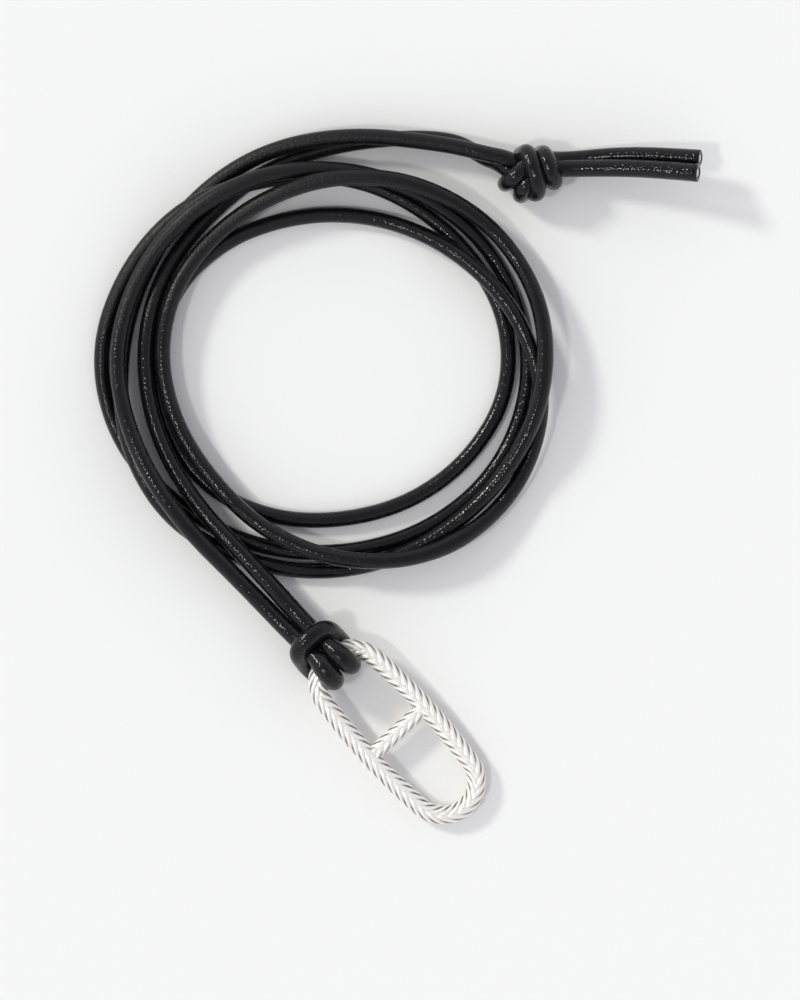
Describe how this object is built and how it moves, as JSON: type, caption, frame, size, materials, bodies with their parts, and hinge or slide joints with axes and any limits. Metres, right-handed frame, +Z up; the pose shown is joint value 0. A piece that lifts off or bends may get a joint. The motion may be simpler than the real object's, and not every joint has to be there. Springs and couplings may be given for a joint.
{
  "type": "leather cord necklace",
  "caption": "Round black leather cord necklace, hitched to an oval silver link with a cross bar and raised braid, knotted at its cut ends and laid in a loose coil",
  "frame": {"origin": "on the surface that the necklace lies on, under the centre of the silver link", "axes": "+Z up from the surface; +X right and +Y away, as the necklace is seen from above with the link nearest and the cut ends at the right; the link's far end heads 47.5 degrees clockwise from +X"},
  "size_m": [0.0908, 0.1044, 0.0095],
  "materials": {
    "silver": "polished cast silver with dull recesses",
    "leather": "semi-matte fine grain",
    "cotton": "cut cotton fibre"
  },
  "bodies": {
    "root": {"pendant_link": "silver", "hitch": "leather", "turn_1": "leather", "turn_2": "leather", "turn_3": "leather", "turn_4": "leather", "turn_5": "leather", "strand_short": "leather", "end_knot": "leather", "tail_upper": "leather", "tail_lower": "leather", "core_upper": "cotton", "core_lower": "cotton"}
  },
  "joints": []
}
